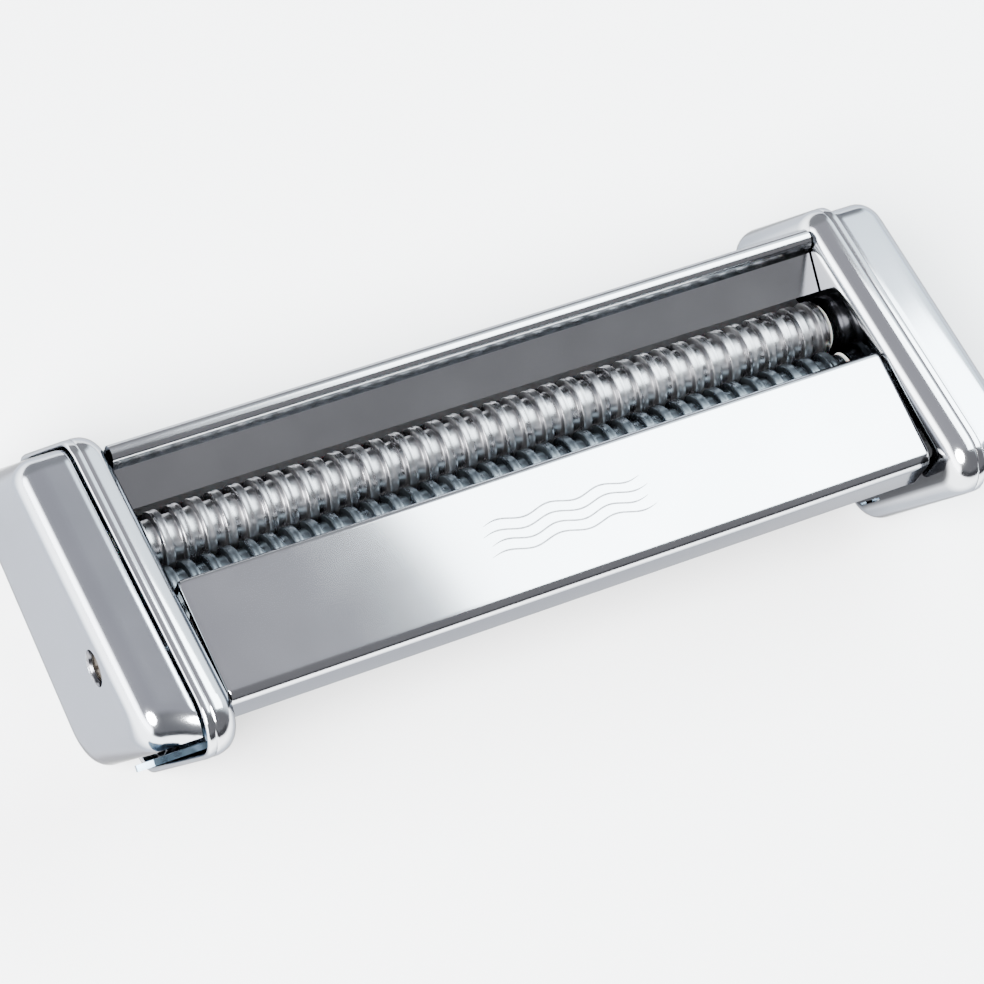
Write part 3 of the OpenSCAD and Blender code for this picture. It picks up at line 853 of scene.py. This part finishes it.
def add_rear_guide():
    """The sloping guide plate with the rail along its top and its back skirt."""
    end_gap = 0.3 * MM
    end_roll = 0.2 * MM
    low_edge = Vector((13.3 * MM, 30.3 * MM))
    under_rail = Vector((20.3 * MM, 33.9 * MM))
    rail = Vector((22.7 * MM, 35.6 * MM))
    rail_r = 1.9 * MM
    foot_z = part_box("rear_guide")[0].z
    line = [low_edge, under_rail]
    line += bend(rail, rail_r, 165, 0, 16)
    line.append(Vector((rail.x + rail_r, foot_z)))
    section = thickened(line, -COVER_T)
    mesh = extruded("rear_guide_mesh", section, WALL_X - end_gap, end_roll)
    smooth_mesh(mesh, 32)
    obj = new_object("rear_guide_sheet", mesh, GUIDE_SHEET, "frame")
    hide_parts("rear_guide")


# ---------------------------------------------------------------- rollers

RING_PITCH = 4.2 * MM
RING_W = 2.0 * MM
ROOT_R = 4.6 * MM
RING_COUNT = int((2 * WALL_X - 2 * MM) / RING_PITCH) + 1


def roller_profile(rings):
    """Half section of a roller: rings with rounded edges and a slight hollow in each crest."""
    bore_r = 3.5 * MM
    h = RING_W / 2
    first = -(rings - 1) / 2 * RING_PITCH
    edge = 0.28 * MM
    fillet = 0.25 * MM
    foot = 0.07 * MM
    hollow = 0.09 * MM
    end_edge = 0.2 * MM
    profile = [(-ROLLER_HALF, bore_r), (-ROLLER_HALF, ROOT_R - end_edge),
               (-ROLLER_HALF + end_edge, ROOT_R)]
    for i in range(rings):
        x = first + i * RING_PITCH
        rise = [(x - h - fillet, ROOT_R), (x - h - foot, ROOT_R + foot),
                (x - h, ROOT_R + fillet), (x - h, CREST_R - edge),
                (x - h + 0.3 * edge, CREST_R - 0.3 * edge), (x - h + edge, CREST_R),
                (x - 0.3 * h, CREST_R - hollow)]
        profile += rise
        profile += [(2 * x - px, r) for px, r in reversed(rise)]
    profile += [(ROLLER_HALF - end_edge, ROOT_R), (ROLLER_HALF, ROOT_R - end_edge),
                (ROLLER_HALF, bore_r), (-ROLLER_HALF, bore_r)]
    return profile


def add_roller(node, y, rings, body, look):
    """A ringed cutting roller about its shaft."""
    mesh = lathe(node + "_mesh", roller_profile(rings), (y, SHAFT_Z), 1, 64)
    smooth_mesh(mesh, 40)
    obj = new_object(node + "_turned", mesh, look, body)
    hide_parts(node)


# ---------------------------------------------------------------- generic mark

def add_mark():
    """Four wavy strands, a plain pictogram of cut pasta, laid in the front cover."""
    strands = 4
    length = 35 * MM
    shorter = 0.05
    pitch = 2.1 * MM
    width = 0.34 * MM
    sway = 0.55 * MM
    waves = 3
    middle_y = -17.8 * MM
    low_z = COVER_Z - 0.05 * MM
    high_z = COVER_Z + 0.02 * MM
    steps = 72
    bm = bmesh.new()
    for s in range(strands):
        y0 = middle_y + (s - (strands - 1) / 2) * pitch
        rows = []
        for k in range(steps + 1):
            t = k / steps
            x = length * (t - 0.5) * (1.0 - shorter * (s % 2))
            y = y0 + sway * math.sin(2 * math.pi * waves * t)
            half = width * min(1.0, 8 * t + 0.25, 8 * (1 - t) + 0.25) / 2
            corners = ((y - half, low_z), (y - half, high_z), (y + half, high_z), (y + half, low_z))
            rows.append([bm.verts.new((x, *corner)) for corner in corners])
        for first, second in zip(rows, rows[1:]):
            band(bm, first, second)
        bm.faces.new(rows[0])
        bm.faces.new(rows[-1])
    mesh = finished(bm, "strand_mark")
    shade = Shade("etched_mark_look", metallic=1.0)
    shade.colour(shade.noise(900), (0.20, 0.20, 0.21), (0.30, 0.30, 0.31))
    shade.roughness(shade.noise(2500), 0.45, 0.6)
    new_object("strand_mark", mesh, shade.mat, "frame")


# ---------------------------------------------------------------- the CAD nodes that stay

ENDS = ((-1, "left"), (1, "right"))
REPLACED = {word + part for _, word in ENDS for part in ("_end_plate", "_end_cap", "_cap_screw")}
REPLACED |= {"front_cover", "rear_guide", "drive_roller", "idler_roller"}


def dress_nodes():
    """Gives every CAD node that stays its procedural material."""
    for row in frame["record"]["subparts"]:
        node = row["node"]
        if node in REPLACED:
            continue
        mesh = NODES[node].data
        mesh.materials.clear()
        # The combs get the near-black painted shade look
        mesh.materials.append(SHADED_COMB_NYLON if node in COMBS else MATERIALS[row["material_slot"]])


add_camera()
add_floor()
add_world()
add_lights()
for side, word in ENDS:
    add_end_plate(side, word + "_end_plate")
    add_end_cap(side, word + "_end_cap")
    add_cap_screw(side, word + "_cap_screw")
add_front_cover()
add_rear_guide()
add_roller("drive_roller", DRIVE_Y, RING_COUNT, "drive_unit", MATERIALS["roller_metal"])
add_roller("idler_roller", IDLER_Y, RING_COUNT - 1, "idler_unit", SHADED_ROLLER)
add_mark()
dress_nodes()
